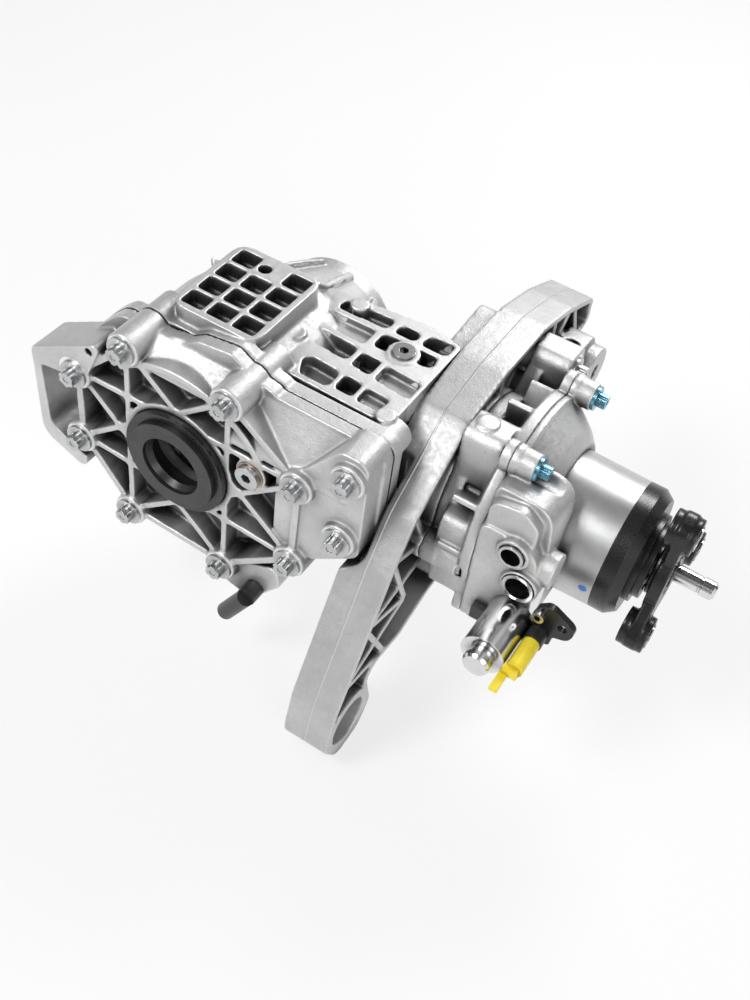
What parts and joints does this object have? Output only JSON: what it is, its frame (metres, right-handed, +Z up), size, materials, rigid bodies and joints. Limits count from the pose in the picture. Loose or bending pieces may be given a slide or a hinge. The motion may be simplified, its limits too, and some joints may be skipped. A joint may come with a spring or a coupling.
{
  "type": "rear differential with clutch",
  "caption": "Rear differential in ribbed cast housings, with bevel gear set, multi-plate clutch, mounting bracket and coupling flange.",
  "frame": {"origin": "where the pinion line crosses the axle line", "axes": "+X forward along the pinion to the input flange, -Y towards the side cover, +Z up"},
  "size_m": [0.488, 0.3562, 0.2762],
  "materials": {
    "cast_aluminium": "sand-cast, satin",
    "bracket_aluminium": "die-cast, satin",
    "machined_aluminium": "turned",
    "zinc_plated_steel": "zinc plated",
    "blue_coated_steel": "blue thread-lock coated",
    "bearing_steel": "ground",
    "gear_steel": "case-hardened, ground",
    "case_iron": "cast and machined",
    "friction_lining": "wet paper lining",
    "black_steel": "black coated",
    "seal_rubber": "moulded",
    "seal_collar": "turned, dark",
    "gasket": "dark liquid gasket",
    "copper": "crushed washer",
    "black_plastic": "moulded",
    "yellow_plastic": "moulded",
    "bright_steel": "polished"
  },
  "bodies": {
    "housings": {"main_housing": "cast_aluminium", "side_cover": "cast_aluminium", "cover_gasket": "gasket", "cover_bolts": "zinc_plated_steel", "filler_plug": "zinc_plated_steel", "filler_washer": "copper", "breather": "black_plastic", "left_seal_carrier": "seal_collar", "left_output_seal": "seal_rubber", "right_output_seal": "seal_rubber", "deck_plug": "bearing_steel", "mounting_bracket": "bracket_aluminium", "joint_bolts": "zinc_plated_steel", "clutch_rear_housing": "cast_aluminium", "clutch_front_housing": "cast_aluminium", "clutch_bolts": "blue_coated_steel", "clutch_pot": "machined_aluminium", "bearing_carrier": "black_steel", "input_seal": "seal_rubber", "pinion_seal": "seal_rubber", "port_sleeves": "bearing_steel", "coil": "bright_steel", "coil_nose": "bright_steel", "clamp_plate": "black_steel", "clamp_screw": "bearing_steel", "connector": "black_plastic", "connector_cap": "yellow_plastic", "harness_clip": "black_plastic", "side_bearing_cups": "bearing_steel", "pinion_bearing_cups": "bearing_steel", "input_bearing_cup": "bearing_steel"},
    "differential": {"differential_case": "case_iron", "ring_gear": "gear_steel", "ring_gear_bolts": "zinc_plated_steel", "cross_pin": "gear_steel", "case_bearing_cones": "bearing_steel"},
    "left_output": {"left_side_gear": "gear_steel"},
    "right_output": {"right_side_gear": "gear_steel"},
    "upper_spider": {"upper_spider_gear": "gear_steel"},
    "lower_spider": {"lower_spider_gear": "gear_steel"},
    "pinion_train": {"pinion": "gear_steel", "pinion_bearing_cones": "bearing_steel", "pinion_spacer": "gear_steel", "pinion_nut": "black_steel", "clutch_hub": "gear_steel", "lined_plates": "friction_lining"},
    "input_train": {"clutch_drum": "gear_steel", "steel_plates": "bearing_steel", "input_shaft": "gear_steel", "input_bearing_cone": "bearing_steel", "input_flange": "black_steel", "coupling_bushes": "bearing_steel", "flange_nut": "black_steel", "centring_pin": "bright_steel"},
    "clutch_piston": {"piston": "machined_aluminium", "thrust_bearing": "bearing_steel"}
  },
  "joints": [
    {"name": "ring_gear_spin", "type": "hinge", "parent": "housings", "child": "differential", "pos_m": [0, 0, 0], "axis": [0, 1, 0], "continuous": true},
    {"name": "pinion_spin", "type": "hinge", "parent": "housings", "child": "pinion_train", "pos_m": [0, 0, 0], "axis": [1, 0, 0], "continuous": true},
    {"name": "left_output_spin", "type": "hinge", "parent": "differential", "child": "left_output", "pos_m": [0, 0, 0], "axis": [0, 1, 0], "continuous": true},
    {"name": "right_output_spin", "type": "hinge", "parent": "differential", "child": "right_output", "pos_m": [0, 0, 0], "axis": [0, 1, 0], "continuous": true},
    {"name": "upper_spider_spin", "type": "hinge", "parent": "differential", "child": "upper_spider", "pos_m": [0, 0, 0], "axis": [0, 0, 1], "continuous": true},
    {"name": "lower_spider_spin", "type": "hinge", "parent": "differential", "child": "lower_spider", "pos_m": [0, 0, 0], "axis": [0, 0, 1], "continuous": true},
    {"name": "input_spin", "type": "hinge", "parent": "housings", "child": "input_train", "pos_m": [0, 0, 0], "axis": [1, 0, 0], "continuous": true},
    {"name": "piston_slide", "type": "slide", "parent": "housings", "child": "clutch_piston", "axis": [1, 0, 0], "range_m": [0, 0.001]}
  ],
  "couplings": [
    {"joint": "pinion_spin", "follows": "ring_gear_spin", "ratio": 2.8462},
    {"joint": "right_output_spin", "follows": "left_output_spin", "ratio": -1},
    {"joint": "upper_spider_spin", "follows": "left_output_spin", "ratio": 1.4},
    {"joint": "lower_spider_spin", "follows": "left_output_spin", "ratio": -1.4}
  ]
}
